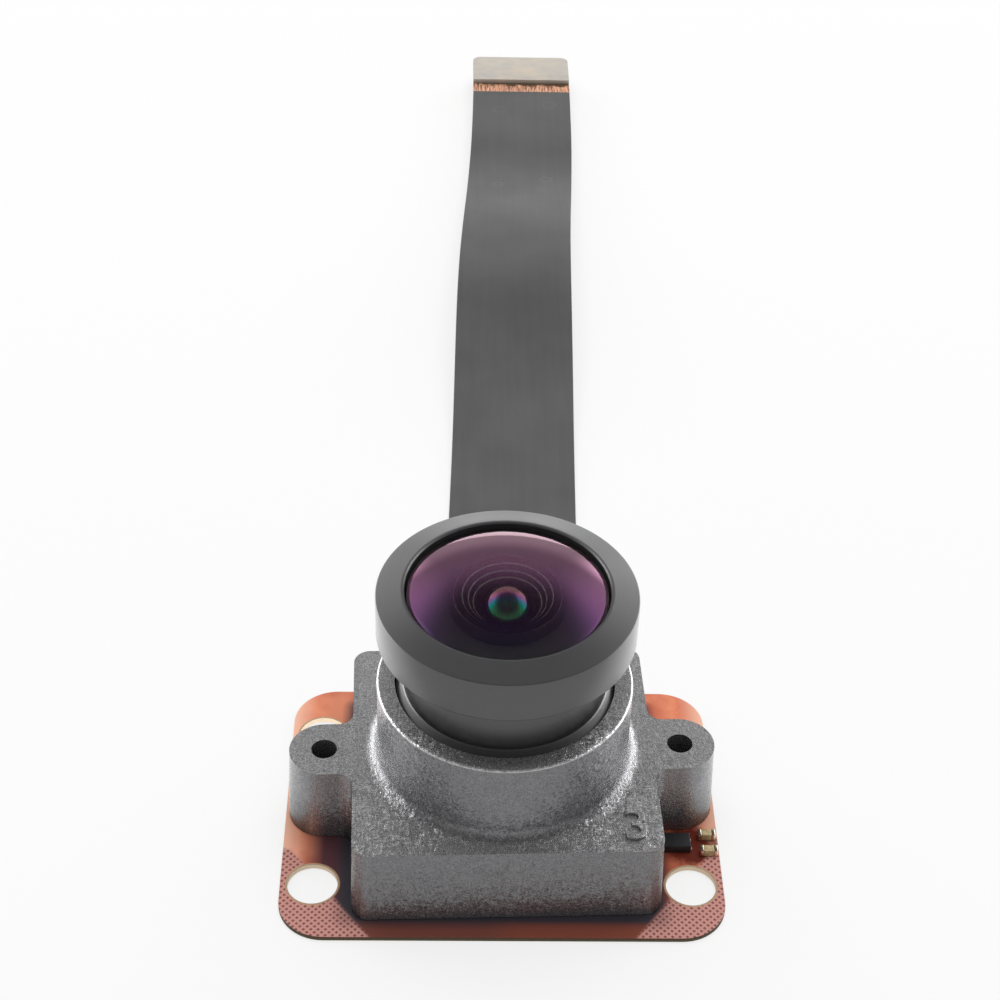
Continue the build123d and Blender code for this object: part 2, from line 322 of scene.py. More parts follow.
bpy.ops.curve.primitive_nurbs_path_add()
route = bpy.context.object
route.data.splines.clear()
spline = route.data.splines.new("NURBS")
spline.points.add(len(tail_route) - 1)
for point, (across, behind, up) in zip(spline.points, tail_route):
    point.co = (across * millimetre, (board_back + behind) * millimetre, up * millimetre, 1)
spline.order_u = 3
spline.use_endpoint_u = True
spline.resolution_u = 12
route_mesh = bpy.data.meshes.new_from_object(route)
tail_path = [vertex.co.copy() for vertex in route_mesh.vertices]
bpy.data.objects.remove(route)
bpy.data.meshes.remove(route_mesh)

edge_round = 0.03
half_width = tail_width / 2
half_film = film_thickness / 2
lower_edge = [
    (-half_width, -half_film + edge_round),
    (-half_width + edge_round, -half_film),
    (0, -half_film),
    (half_width - edge_round, -half_film),
    (half_width, -half_film + edge_round),
]
ribbon_section = lower_edge + [(-x, -z) for x, z in lower_edge]
ribbon_mesh = bmesh.new()
rings = []
for number, here in enumerate(tail_path):
    before = tail_path[max(number - 1, 0)]
    after = tail_path[min(number + 1, len(tail_path) - 1)]
    along = (after - before).normalized()
    over = Vector((1, 0, 0)).cross(along).normalized()
    rings.append(
        [
            ribbon_mesh.verts.new(here + Vector((1, 0, 0)) * (x * millimetre) + over * (z * millimetre))
            for x, z in ribbon_section
        ]
    )
for near, far in zip(rings, rings[1:]):
    for side in range(len(ribbon_section)):
        following = (side + 1) % len(ribbon_section)
        ribbon_mesh.faces.new((near[side], near[following], far[following], far[side]))
ribbon_mesh.faces.new(rings[0])
ribbon_mesh.faces.new(list(reversed(rings[-1])))
bmesh.ops.recalc_face_normals(ribbon_mesh, faces=ribbon_mesh.faces)
tail_data = bpy.data.meshes.new("ribbon_tail")
ribbon_mesh.to_mesh(tail_data)
ribbon_mesh.free()
tail = bpy.data.objects.new("ribbon_tail", tail_data)
bpy.context.collection.objects.link(tail)
bpy.context.view_layer.objects.active = tail
tail.select_set(True)
bpy.ops.object.shade_smooth_by_angle(angle=radians(35))
tail.select_set(False)

shield_film, tree, shader = new_finish("shield_film", (0.075, 0.076, 0.077), 0.5)
where = in_millimetres(tree)
cloud = noise(tree, where, 0.22, 2.0)
fine = noise(tree, where, 9.0, 3.0, 0.6)
tone = grade(tree, cloud, 0.35, 0.65, (0.082, 0.082, 0.083), (0.094, 0.094, 0.095))
# A ramp of painted light and shade along the ribbon, lighter and darker as its bends meet the light.
light_ramp_from = 20.0
light_ramp_to = 90.0
along = spread(tree, split_axes(tree, where)[1], light_ramp_from, light_ramp_to)
painted_light_ramp = add_node(tree, "ValToRGB", {"Fac": along})
painted_light_ramp.color_ramp.interpolation = "EASE"
painted_light_ramp.color_ramp.elements.remove(painted_light_ramp.color_ramp.elements[1])
for number, (behind, lightness) in enumerate(tail_painted_lightness):
    position = (behind - light_ramp_from) / (light_ramp_to - light_ramp_from)
    if number:
        painted_light_ramp.color_ramp.elements.new(position)
    stop = painted_light_ramp.color_ramp.elements[number]
    stop.position = position
    stop.color = (lightness / 2, lightness / 2, lightness / 2, 1)
tone = combine_vectors(tree, "MULTIPLY", tone, painted_light_ramp.outputs[0])
marks = 0.0
for mark_place in ring_marks:
    mark_middle = (*mark_place, tail_end_middle + film_thickness / 2)
    away = combine_vectors(tree, "DISTANCE", where, mark_middle)
    off_line = calculate(tree, "ABSOLUTE", calculate(tree, "SUBTRACT", away, mark_radius))
    marks = calculate(tree, "MAXIMUM", marks, spread(tree, off_line, 0.13, 0.03))
rubbed = noise(tree, in_millimetres(tree, (2.6, 0.06, 1)), 1.0, 2.0)
lift = calculate(tree, "MULTIPLY_ADD", marks, 0.30, spread(tree, rubbed, 0.3, 0.7, 1.92, 2.08))
tone = scaled(tree, tone, lift)
feed(shader, Base_Color=tone)
feed(shader, Roughness=spread(tree, fine, 0.3, 0.7, 0.46, 0.56))
add_relief(tree, shader, calculate(tree, "MULTIPLY_ADD", marks, 1.5, fine), 0.012, 0.25)
tail_data.materials.append(shield_film)

# Board
# The rigid end of the same circuit: a salmon flexible sheet with hatched copper in its corners,
# laminated on a thin glass-cloth sheet, both punched with four screw holes with plated rims.
board_size = (24.6, 19.0)
board_corner = 2.55
board_flex = 0.14
board_sheet = 0.16
board_top = board_flex + board_sheet
hole_reach = (10.5, 5.8)
screw_holes = [(x * hole_reach[0], y * hole_reach[1]) for x in (-1, 1) for y in (-1, 1)]
screw_hole_radius = 1.4
lining_radius = 1.46
turned_sides = 192
hole_sides = 72


def select_vertices(piece, wanted):
    """Selects the edit mesh's vertices for which wanted(place) is true, and what joins them."""
    bpy.ops.mesh.select_all(action="DESELECT")
    mesh = bmesh.from_edit_mesh(piece.data)
    for vertex in mesh.verts:
        vertex.select = wanted(vertex.co)
    mesh.select_flush_mode()
    mesh.select_flush(True)
    bmesh.update_edit_mesh(piece.data)


def select_whole_mesh():
    bpy.ops.mesh.select_all(action="SELECT")


def extrude_edges(offset):
    bpy.ops.mesh.extrude_edges_move(TRANSFORM_OT_translate={"value": offset})


def grow_rings(profile):
    """Extrudes and scales the selected ring from each (radius, height) of a turned form to the next."""
    radius, height = profile[0]
    for next_radius, next_height in profile[1:]:
        extrude_edges((0, 0, next_height - height))
        share = next_radius / radius
        bpy.ops.transform.resize(value=(share, share, 1), center_override=(0, 0, next_height))
        radius, height = next_radius, next_height


def turned_piece(name, profile, sides=turned_sides):
    """A closed turned form: a circle grown ring by ring, whose last ring meets its first."""
    deselect_all()
    radius, height = profile[0]
    bpy.ops.mesh.primitive_circle_add(vertices=sides, radius=radius, location=(0, 0, height))
    piece = bpy.context.object
    piece.name = name
    piece.data.name = name
    apply_place()
    bpy.ops.object.mode_set(mode="EDIT")
    select_whole_mesh()
    grow_rings(profile)
    select_whole_mesh()
    bpy.ops.mesh.remove_doubles(threshold=0.0002)
    bpy.ops.mesh.select_all(action="DESELECT")
    bpy.ops.mesh.select_non_manifold()
    if any(vertex.select for vertex in bmesh.from_edit_mesh(piece.data).verts):
        bpy.ops.mesh.edge_face_add()
    select_whole_mesh()
    bpy.ops.mesh.normals_make_consistent(inside=False)
    bpy.ops.object.mode_set(mode="OBJECT")
    return piece


def ring_section(inner, outer, base, top):
    """The closed section of a plain ring."""
    return [(inner, base), (outer, base), (outer, top), (inner, top), (inner, base)]


def punched_sheet(
    name, size, corner, top, thickness, middle=(0, 0), holes=(), edge=0.0, far_only=False
):
    """A flat sheet: a plane with rounded corners and holes, and its thickness below it.

    far_only rounds the two far corners; edge rounds the sheet's own edges.
    """
    deselect_all()
    bpy.ops.mesh.primitive_plane_add(size=1, location=(*middle, top))
    sheet = bpy.context.object
    sheet.name = name
    sheet.data.name = name
    sheet.scale = (*size, 1)
    apply_place()
    bpy.ops.object.mode_set(mode="EDIT")
    bpy.ops.mesh.select_mode(type="VERT")
    select_whole_mesh()
    if far_only:
        select_vertices(sheet, lambda co: co.y > middle[1])
    bpy.ops.mesh.bevel(offset=corner, segments=14, affect="VERTICES")
    select_whole_mesh()
    bpy.ops.mesh.delete(type="ONLY_FACE")
    for place in holes:
        bpy.ops.mesh.primitive_circle_add(
            vertices=hole_sides, radius=lining_radius, location=(*place, top)
        )
    select_whole_mesh()
    bpy.ops.mesh.fill()
    select_whole_mesh()
    bpy.ops.mesh.normals_make_consistent(inside=False)
    bpy.ops.object.mode_set(mode="OBJECT")
    if sheet.data.polygons[0].normal.z < 0:
        sheet.data.flip_normals()
    wall = sheet.modifiers.new("thickness", "SOLIDIFY")
    wall.thickness = thickness
    wall.offset = -1
    wall.use_even_offset = True
    bpy.ops.object.modifier_apply(modifier=wall.name)
    if edge:
        rounding = sheet.modifiers.new("edge", "BEVEL")
        rounding.width = edge
        rounding.segments = 2
        rounding.limit_method = "ANGLE"
        rounding.angle_limit = radians(60)
        bpy.ops.object.modifier_apply(modifier=rounding.name)
    return sheet


def join_pieces(pieces):
    """Joins the pieces into the first one, which keeps its name."""
    deselect_all()
    for piece in pieces:
        piece.select_set(True)
    bpy.context.view_layer.objects.active = pieces[0]
    bpy.ops.object.join()
    return pieces[0]


flex_face = punched_sheet(
    "board_flex_face", board_size, board_corner, board_top, board_flex, holes=screw_holes
)
linings = []
for x, y in screw_holes:
    section = ring_section(screw_hole_radius, lining_radius, 0.0, board_top)
    lining = turned_piece("hole_lining", section, hole_sides)
    lining.location = (x, y, 0)
    linings.append(lining)
glass_cloth_sheet = punched_sheet(
    "board_stiffener_sheet", board_size, board_corner, board_sheet, board_sheet, holes=screw_holes
)
place_on_module(glass_cloth_sheet, ["board_stiffener"])

circuit, tree, shader = new_finish("salmon_circuit", (0.60, 0.22, 0.17), 0.36)
where = in_millimetres(tree)
across, along, up = split_axes(tree, where)
from_middle = calculate(tree, "ABSOLUTE", across)
depth_in = calculate(tree, "ABSOLUTE", along)

# Salmon film over copper, darkened by painted shade beside the block and stained round the small parts.
cloud = noise(tree, where, 0.45, 3.0)
face_tone = grade(tree, cloud, 0.4, 0.6, (0.74, 0.20, 0.11), (0.95, 0.33, 0.18))
# Painted highlight: the board is painted lighter towards its left and right edges.
face_tone = grade(tree, from_middle, 10.9, 12.2, face_tone, (1.0, 0.56, 0.40))
right_share = spread(tree, across, -1.0, 1.0)
# Painted shade: darker red-brown on the board beside the block and its lugs.
shade_beside_block_tone = blend_colours(tree, right_share, (0.11, 0.042, 0.05), (0.36, 0.07, 0.035))
shade_near_holder = spread(tree, calculate(tree, "ADD", from_middle, right_share), 11.5, 10.0)
shade_near_holder = product(tree, shade_near_holder, spread(tree, along, 5.0, 3.0, 0.25, 1.0))
face_tone = blend_colours(tree, shade_near_holder, face_tone, shade_beside_block_tone)
stain_middle = (10.7, -2.8, board_top)
from_stain = combine_vectors(tree, "DISTANCE", where, stain_middle)
stain = calculate(tree, "MULTIPLY_ADD", noise(tree, where, 1.6, 3.0, 0.6), -1.6, from_stain)
face_tone = grade(tree, stain, 1.1, 0.3, face_tone, (0.16, 0.025, 0.015))

# Two sets of crossing copper lines, outside a slanting border in each front corner.
hatch_pitch = 0.40
off_lines = [
    calculate(tree, "PINGPONG", calculate(tree, way, across, along), hatch_pitch / 2)
    for way in ("ADD", "SUBTRACT")
]
opening = spread(tree, calculate(tree, "MINIMUM", *off_lines), 0.07, 0.12)
past_border = calculate(tree, "MULTIPLY_ADD", along, -0.75, from_middle)
hatch_zone = spread(tree, past_border, 14.2, 14.5)
hatch_zone = product(tree, hatch_zone, spread(tree, along, -3.1, -3.4))
hatched = blend_colours(tree, opening, (0.70, 0.33, 0.28), (0.26, 0.11, 0.10))
face_tone = blend_colours(tree, hatch_zone, face_tone, hatched)


def flat_vector(tree, x, y):
    return add_node(tree, "CombineXYZ", {0: x, 1: y, 2: 0.0}).outputs[0]


# A painted shadow as a dark band round the block, a plated rim at each hole and a brown strip along the
# front.
block_reach = (8.5, 8.1)
past_block = [
    calculate(tree, "MAXIMUM", calculate(tree, "SUBTRACT", distance, reach), 0.0)
    for distance, reach in zip((from_middle, depth_in), block_reach)
]
from_block = combine_vectors(tree, "LENGTH", flat_vector(tree, *past_block))
# Painted shadow: a dark band on the board close round the block.
painted_shadow_share = calculate(tree, "MULTIPLY_ADD", hatch_zone, -0.65, 1.0)
painted_shadow_share = product(tree, painted_shadow_share, spread(tree, from_block, 1.0, 0.25))
face_tone = blend_colours(tree, painted_shadow_share, face_tone, (0.05, 0.045, 0.056))
hole_distance = combine_vectors(
    tree, "DISTANCE", flat_vector(tree, from_middle, depth_in), (*hole_reach, 0)
)
face_tone = grade(tree, hole_distance, 1.54, 1.49, face_tone, (0.62, 0.36, 0.20))
front_strip = calculate(tree, "SUBTRACT", 1.0, hatch_zone)
front_strip = product(tree, front_strip, spread(tree, along, -7.8, -8.4))
front_strip = product(tree, front_strip, spread(tree, from_block, 0.2, 0.9, 0.0, 0.8))
face_tone = blend_colours(tree, front_strip, face_tone, (0.24, 0.075, 0.05))
tone = grade(tree, up, 0.285, 0.25, face_tone, (0.10, 0.045, 0.02))
feed(shader, Base_Color=tone)
add_relief(tree, shader, product(tree, opening, hatch_zone), -0.02, 0.8)
flex_face.data.materials.append(circuit)
plating, tree, shader = new_finish("worn_copper_plating", (0.90, 0.72, 0.52), 0.35, Metallic=0.7)
wear = noise(tree, in_millimetres(tree), 5.0, 3.0)
feed(shader, Roughness=spread(tree, wear, 0.3, 0.7, 0.28, 0.5))
add_relief(tree, shader, wear, 0.01, 0.6)
for lining in linings:
    lining.data.materials.append(plating)
flex_face = join_pieces([flex_face, *linings])
place_on_module(flex_face, ["flex_board"])

cloth, tree, shader = new_finish("olive_glass_cloth", (0.14, 0.10, 0.035), 0.55)
weave = noise(tree, in_millimetres(tree, (1, 1, 4)), 6.0, 2.0)
tone = grade(tree, weave, 0.3, 0.7, (0.10, 0.075, 0.025), (0.22, 0.17, 0.07))
feed(shader, Base_Color=tone)
add_relief(tree, shader, weave, 0.01, 0.6)
glass_cloth_sheet.data.materials.append(cloth)

# Holder
# One moulding in graphite grey, glass-filled plastic: a square block with drafted walls, two
# screw lugs and the tower that the lens screws into. It is glued on the board, slightly turned.
holder_turn = radians(1.8)
block_width = 16.8
block_depth = 16.0
glue_thickness = 0.05
block_height = 4.95
block_base = board_top + glue_thickness
block_top = block_base + block_height
block_corner = 0.95
block_edge = 0.2
draft_grow = 0.13
lug_middle = 10.0
lug_radius = 1.95
lug_hole_radius = 0.72
lug_fillet = 0.8
tower_radius = 7.0
tower_fillet = 0.8
tower_edge = 0.14
bore_edge = 0.08
tower_top = block_top + 5.25
bore_radius = 6.0
web_top = block_base + 3.65
recess_top = block_base + 2.85
cavity_top = block_base + 2.5
aperture_radius = 4.2
recess_side = 9.4
cavity_size = (13.6, 12.8)


def arc_profile(middle, radius, start, end, steps):
    """(radius, height) points of an arc in a turned form's half section; angles in degrees."""
    points = []
    for step in range(steps + 1):
        angle = radians(start + (end - start) * step / steps)
        points.append((middle[0] + radius * cos(angle), middle[1] + radius * sin(angle)))
    return points


def fill_level(piece, height):
    """Fills the flat region between the loose loops that lie at one height."""
    bpy.ops.mesh.select_all(action="DESELECT")
    mesh = bmesh.from_edit_mesh(piece.data)
    for edge in mesh.edges:
        flat = all(abs(vertex.co.z - height) < 1e-4 for vertex in edge.verts)
        edge.select = flat and len(edge.link_faces) < 2
    bmesh.update_edit_mesh(piece.data)
    bpy.ops.mesh.fill()


bpy.ops.mesh.primitive_plane_add(size=1, location=(0, 0, block_top))
holder = bpy.context.object
holder.name = "moulded_holder"
holder.data.name = "moulded_holder"
holder.scale = (block_width, block_depth, 1)
apply_place()
bpy.ops.object.mode_set(mode="EDIT")
bpy.ops.mesh.select_mode(type="VERT")
for cut in (-lug_radius, lug_radius):
    select_whole_mesh()
    bpy.ops.mesh.bisect(plane_co=(0, cut, 0), plane_no=(0, 1, 0))
for way in (-1, 1):
    side = way * block_width / 2
    select_vertices(holder, lambda co: abs(co.x - side) < 1e-3 and abs(co.y) < lug_radius + 1e-3)
    reach = way * (lug_middle + lug_radius - block_width / 2)
    extrude_edges((reach, 0, 0))
select_whole_mesh()
bpy.ops.mesh.dissolve_limited(angle_limit=radians(1))
for wanted, offset, steps in (
    (lambda co: abs(abs(co.x) - block_width / 2) < 0.01 and abs(co.y) > 7, block_corner, 10),
    (lambda co: abs(abs(co.x) - block_width / 2) < 0.01 and abs(co.y) < 2, lug_fillet, 10),
    (lambda co: abs(co.x) > lug_middle, 0.999 * lug_radius, 24),
):
    select_vertices(holder, wanted)
    bpy.ops.mesh.bevel(offset=offset, segments=steps, affect="VERTICES")
select_whole_mesh()
bpy.ops.mesh.delete(type="ONLY_FACE")
select_whole_mesh()
extrude_edges((0, 0, block_base - block_top))
bpy.ops.transform.resize(
    value=(1 + 2 * draft_grow / block_width, 1 + 2 * draft_grow / block_depth, 1),
    center_override=(0, 0, block_base),
)
for way in (-1, 1):
    bpy.ops.mesh.primitive_circle_add(
        vertices=48, radius=lug_hole_radius, location=(way * lug_middle, 0, block_top)
    )
    extrude_edges((0, 0, block_base - block_top))
flare_middle = (tower_radius + tower_fillet, block_top + tower_fillet)
tower_profile = [
    *arc_profile(flare_middle, tower_fillet, 270, 180, 10),
    *arc_profile((tower_radius - tower_edge, tower_top - tower_edge), tower_edge, 0, 90, 4),
    *arc_profile((bore_radius + bore_edge, tower_top - bore_edge), bore_edge, 90, 180, 3),
    (bore_radius, web_top),
    (aperture_radius, web_top),
    (aperture_radius, recess_top),
]
bpy.ops.mesh.primitive_circle_add(
    vertices=turned_sides, radius=tower_profile[0][0], location=(0, 0, tower_profile[0][1])
)
grow_rings(tower_profile)
for (width, depth), top, bottom, corner in (
    ((recess_side, recess_side), recess_top, cavity_top, 0),
    (cavity_size, cavity_top, block_base, 0.8),
):
    bpy.ops.mesh.primitive_plane_add(size=1, location=(0, 0, top))
    bpy.ops.transform.resize(value=(width, depth, 1), center_override=(0, 0, top))
    if corner:
        bpy.ops.mesh.bevel(offset=corner, segments=6, affect="VERTICES")
    bpy.ops.mesh.delete(type="ONLY_FACE")
    select_vertices(
        holder,
        lambda co: abs(co.z - top) < 1e-4
        and 0.46 < max(abs(co.x) / width, abs(co.y) / depth)
        and abs(co.x) < width / 2 + 1e-3
        and abs(co.y) < depth / 2 + 1e-3,
    )
    extrude_edges((0, 0, bottom - top))
for height in (block_top, recess_top, cavity_top, block_base):
    fill_level(holder, height)
select_whole_mesh()
bpy.ops.mesh.remove_doubles(threshold=0.001)
bpy.ops.mesh.normals_make_consistent(inside=False)
bpy.ops.mesh.select_all(action="DESELECT")
mesh = bmesh.from_edit_mesh(holder.data)
for edge in mesh.edges:
    flat = all(abs(vertex.co.z - block_top) < 1e-4 for vertex in edge.verts)
    outside = all(hypot(vertex.co.x, vertex.co.y) > flare_middle[0] + 0.05 for vertex in edge.verts)
    bored = all(
        hypot(abs(vertex.co.x) - lug_middle, vertex.co.y) < lug_hole_radius + 0.1
        for vertex in edge.verts
    )
    edge.select = flat and outside and not bored and edge.calc_face_angle(0) > radians(60)
bmesh.update_edit_mesh(holder.data)
bpy.ops.mesh.bevel(offset=block_edge, segments=3, affect="EDGES")
bpy.ops.object.mode_set(mode="OBJECT")
holder.rotation_euler = (0, 0, holder_turn)
place_on_module(holder, ["lens_mount"])


def facing_axes(tree):
    """The way a face looks, as the x, y and z of its true normal."""
    return split_axes(tree, add_node(tree, "NewGeometry").outputs["True Normal"])


def flecks(tree, stretch, turned_by, scale, tilt, warp):
    """A small random lean for each cell of a stretched pattern, as fibres under a skin glint."""
    values = {"Vector": in_millimetres(tree), "Scale": 1.3, "Detail": 1.0}
    bent = scaled(tree, add_node(tree, "TexNoise", values).outputs["Color"], warp)
    place = combine_vectors(tree, "ADD", in_millimetres(tree, stretch, turned_by), bent)
    cells = add_node(tree, "TexVoronoi", {"Vector": place, "Scale": scale}).outputs["Color"]
    return scaled(tree, combine_vectors(tree, "SUBTRACT", cells, (0.5, 0.5, 0.5)), tilt)


graphite, tree, shader = new_finish("graphite_moulding", (0.42, 0.42, 0.43), 0.26, Metallic=0.74)
where = in_millimetres(tree)
fibres = noise(tree, in_millimetres(tree, (2.2, 0.8, 1.6), 0.7), 2.4, 4.0, 0.62, 2.2)
crumbs = noise(tree, where, 9.5, 2.0, 0.7)
grain = calculate(tree, "MULTIPLY_ADD", fibres, 0.5, product(tree, crumbs, 0.5))
grain_share = spread(tree, grain, 0.38, 0.62)
facing = facing_axes(tree)
place = split_axes(tree, where)
front_share = spread(tree, facing[1], -0.80, -0.95)
front_zone = spread(tree, place[1], -1.0, -4.5, 0.3, 1.0)
lit_upward_share = spread(tree, facing[2], 0.75, 0.96)

# Painted light: the block's top is painted lighter than its walls, painted shade darkens the walls'
# feet, and painted highlights brighten the rounded edges.
lit_top_tone = blend_colours(tree, grain_share, (0.42, 0.42, 0.43), (0.74, 0.74, 0.75))
shaded_wall_tone = blend_colours(tree, grain_share, (0.24, 0.24, 0.25), (0.42, 0.42, 0.43))
painted_shade_at_foot = spread(tree, place[2], 0.4, 3.4, 0.35, 1.0)
shaded_wall_tone = scaled(tree, shaded_wall_tone, calculate(tree, "MAXIMUM", painted_shade_at_foot, front_share))
tone = blend_colours(tree, lit_upward_share, shaded_wall_tone, lit_top_tone)
# Painted highlights on the rounded top edges of the block and the tower.
block_rim_highlight = spread(tree, place[2], block_top - 0.25, block_top - 0.2)
block_rim_highlight = product(tree, block_rim_highlight, spread(tree, place[2], block_top, block_top - 0.01))
tower_rim_highlight = spread(tree, place[2], tower_top - 0.2, tower_top - 0.14)
slanting = spread(tree, facing[2], 0.1, 0.25)
slanting = product(tree, slanting, spread(tree, facing[2], 0.99, 0.93))
painted_edge_highlight = product(tree, slanting, calculate(tree, "ADD", tower_rim_highlight, block_rim_highlight))
tone = blend_colours(tree, painted_edge_highlight, tone, (0.95, 0.95, 0.96))
feed(shader, Base_Color=tone)
feed(shader, Roughness=spread(tree, grain, 0.35, 0.65, 0.20, 0.32))
wide_flecks = flecks(tree, (3.0, 0.8, 1.5), 0.8, 3.4, 0.32, 1.4)
fine_flecks = flecks(tree, (0.8, 2.6, 1.4), -0.6, 5.5, 0.28, 0.9)
calm = product(tree, calculate(tree, "MULTIPLY_ADD", front_share, -0.45, 1.0), front_zone)
lean = scaled(tree, combine_vectors(tree, "ADD", wide_flecks, fine_flecks), calm)
normal = add_node(tree, "NewGeometry").outputs["Normal"]
leaning = combine_vectors(tree, "NORMALIZE", combine_vectors(tree, "ADD", normal, lean))
values = {"Height": grain, "Strength": 0.6, "Distance": 0.06 * millimetre, "Normal": leaning}
feed(shader, Normal=add_node(tree, "Bump", values).outputs[0])
holder.data.materials.append(graphite)

# A plain digit stands up from the block's top, as the cavity number of a mould does.
digit_place = (7.15, -6.95)
digit_height = 3.05
deselect_all()
bpy.ops.object.text_add(location=(0, 0, 0))
digit = bpy.context.object
digit.name = "cavity_digit"
digit.data.body = "3"
digit.data.align_x = "CENTER"
digit.data.size = digit_height
digit.data.extrude = 0.09
digit.data.bevel_depth = 0.03
digit.data.bevel_resolution = 2
digit.location = (*digit_place, block_top + 0.05)
digit.rotation_euler = (0, 0, holder_turn)
bpy.ops.object.convert(target="MESH")
place_on_module(digit)
digit.data.materials.append(graphite)

# Glue bed
# A thin bed of black glue between the block's wall and the board, squeezed out to just inside the
# wall's outer edge. It fixes the holder and keeps light and dust from the sensor.


def grained_finish(name, colour, roughness, grain_scale, depth, **sockets):
    """A plain finish with a fine grain of the given depth in millimetres."""
    material, tree, shader = new_finish(name, colour, roughness, **sockets)
    add_relief(tree, shader, noise(tree, in_millimetres(tree), grain_scale), depth)
    return material


def dress_solid(node_name, finish):
    """Gives a piece that stays as it was packed its finish."""
    materials = nodes_of_cad[node_name].data.materials
    materials.clear()
    materials.append(finish)


glue = grained_finish("black_glue", (0.02, 0.018, 0.02), 0.3, 3.0, 0.02)
dress_solid("mount_adhesive", glue)

# Lens barrel
# Turned aluminium, black anodised: the threaded stretch runs out in a chamfer with three fine
# cuts, then a thin neck, and a wide head whose front slopes up to a thin lip round the glass.
barrel_base = web_top + 0.4
thread_radius = 5.93
thread_top = barrel_base + 5.88
neck_radius = 5.55
lip_top = barrel_base + 12.66
head_radius = 7.0
head_top = lip_top - 0.37
head_base = head_top - 2.54
front_seat = lip_top - 2.31
glass_bore = 5.46
lip_outer = 5.66
stack_bore = 4.2
rear_opening = 2.4
rear_wall = 0.7
base_edge = 0.10
top_edge = 0.07
chamfer_depth = thread_radius - neck_radius
chamfer_steps = 3
cut_depth = 0.03

chamfer_cuts = []
for cut in range(chamfer_steps):
    into = chamfer_depth * cut / chamfer_steps
    radius = thread_radius - into
    chamfer_cuts.append((radius, thread_top + into))
    chamfer_cuts.append((radius - cut_depth, thread_top + into + 0.01))
barrel_profile = [
    (rear_opening, barrel_base),
    (thread_radius - 0.3, barrel_base),
    (thread_radius, barrel_base + 0.3),
    *chamfer_cuts,
    (neck_radius, thread_top + chamfer_depth),
    (neck_radius, head_base),
    *arc_profile((head_radius - base_edge, head_base + base_edge), base_edge, 270, 360, 3),
    *arc_profile((head_radius - top_edge, head_top - top_edge), top_edge, 0, 75, 3),
    (lip_outer, lip_top - 0.01),
    (lip_outer - 0.02, lip_top),
    (glass_bore + 0.07, lip_top),
    (glass_bore, lip_top - 0.09),
    (glass_bore, front_seat - 0.3),
    (stack_bore, front_seat - 0.3),
    (stack_bore, barrel_base + rear_wall),
    (rear_opening, barrel_base + rear_wall),
    (rear_opening, barrel_base),
]
barrel = turned_piece("turned_barrel", barrel_profile)
place_on_module(barrel, ["lens_barrel"])

anodised, tree, shader = new_finish("black_anodised", (0.03, 0.03, 0.032), 0.32, IOR=2.35)
where = in_millimetres(tree)
across, along, up = split_axes(tree, where)
from_axis = combine_vectors(tree, "LENGTH", flat_vector(tree, across, along))
turning_lines = noise(tree, flat_vector(tree, from_axis, up), 14.0, 2.0)
dust = noise(tree, where, 9.0, 3.0, 0.6)
tone = grade(tree, dust, 0.35, 0.7, (0.026, 0.026, 0.028), (0.036, 0.036, 0.038))
# Painted light: faces that look upward are painted lighter than the barrel's walls.
lit_upward_share = spread(tree, facing_axes(tree)[2], 0.3, 0.6)
tone = blend_colours(tree, lit_upward_share, tone, (0.052, 0.052, 0.055))
feed(shader, Base_Color=tone)
feed(shader, Roughness=spread(tree, turning_lines, 0.3, 0.7, 0.28, 0.38))
grain = calculate(tree, "MULTIPLY_ADD", turning_lines, 0.5, dust)
add_relief(tree, shader, grain, 0.008, 0.5)
barrel.data.materials.append(anodised)

# Seal
# A flat ring punched from black rubber. It lies on the head's inner step, where the front glass
# presses on it.
seal_thickness = 0.3
seal_inner = 4.55
seal_outer = 5.36
seal_section = ring_section(seal_inner, seal_outer, front_seat - seal_thickness, front_seat)
seal = turned_piece("seal_ring", seal_section, 128)
place_on_module(seal, ["front_seal"])
seal.data.materials.append(grained_finish("black_rubber", (0.02, 0.02, 0.02), 0.6, 8.0, 0.01))

# Front glass
# A thick meniscus of optical glass, polished, with a thin coating that reflects pink and mauve.
# It drops into the head's counterbore on its flat rear rim.
front_rim = 5.36
front_edge_top = front_seat + 2.05


def ground_surface(edge_height, semi, curve, steps, outward=True):
    """(radius, height) points of a ground surface between the axis and its edge."""
    way = 1 if curve > 0 else -1
    apex = edge_height + way * (abs(curve) - sqrt(curve**2 - semi**2))
    points = []
    for step in range(steps + 1):
        radius = max(semi * step / steps, 0.03)
        points.append((radius, apex - way * (abs(curve) - sqrt(curve**2 - radius**2))))
    return points if outward else points[::-1]


def polished_glass(name, colour, film, film_index, index=1.6):
    """Clear glass with an interference coating, from the shader's own thin film."""
    material, tree, shader = new_finish(name, colour, 0.0)
    shader.inputs["Transmission Weight"].default_value = 1.0
    shader.inputs["IOR"].default_value = index
    shader.inputs["Thin Film Thickness"].default_value = film
    shader.inputs["Thin Film IOR"].default_value = film_index
    smear = noise(tree, in_millimetres(tree), 0.6, 2.0)
    feed(shader, Roughness=spread(tree, smear, 0.4, 0.8, 0.0, 0.03))
    return material


def glass_piece(name, profile, finishes, replaced, clear_radius, sides=128):
    """A polished glass: finishes are its front coating, its rear coating and the black edge paint.

    The paint covers the rim, upright walls and the flats outside the clear radius.
    """
    piece = turned_piece(name, profile, sides)
    place_on_module(piece, [replaced], smooth_angle=40)
    for finish in finishes:
        piece.data.materials.append(finish)
    for face in piece.data.polygons:
        away = hypot(face.center.x, face.center.y) / millimetre
        if abs(face.normal.z) < 0.2 or (abs(face.normal.z) > 0.999 and away > clear_radius):
            face.material_index = 2
        elif face.normal.z < 0:
            face.material_index = 1
    return piece


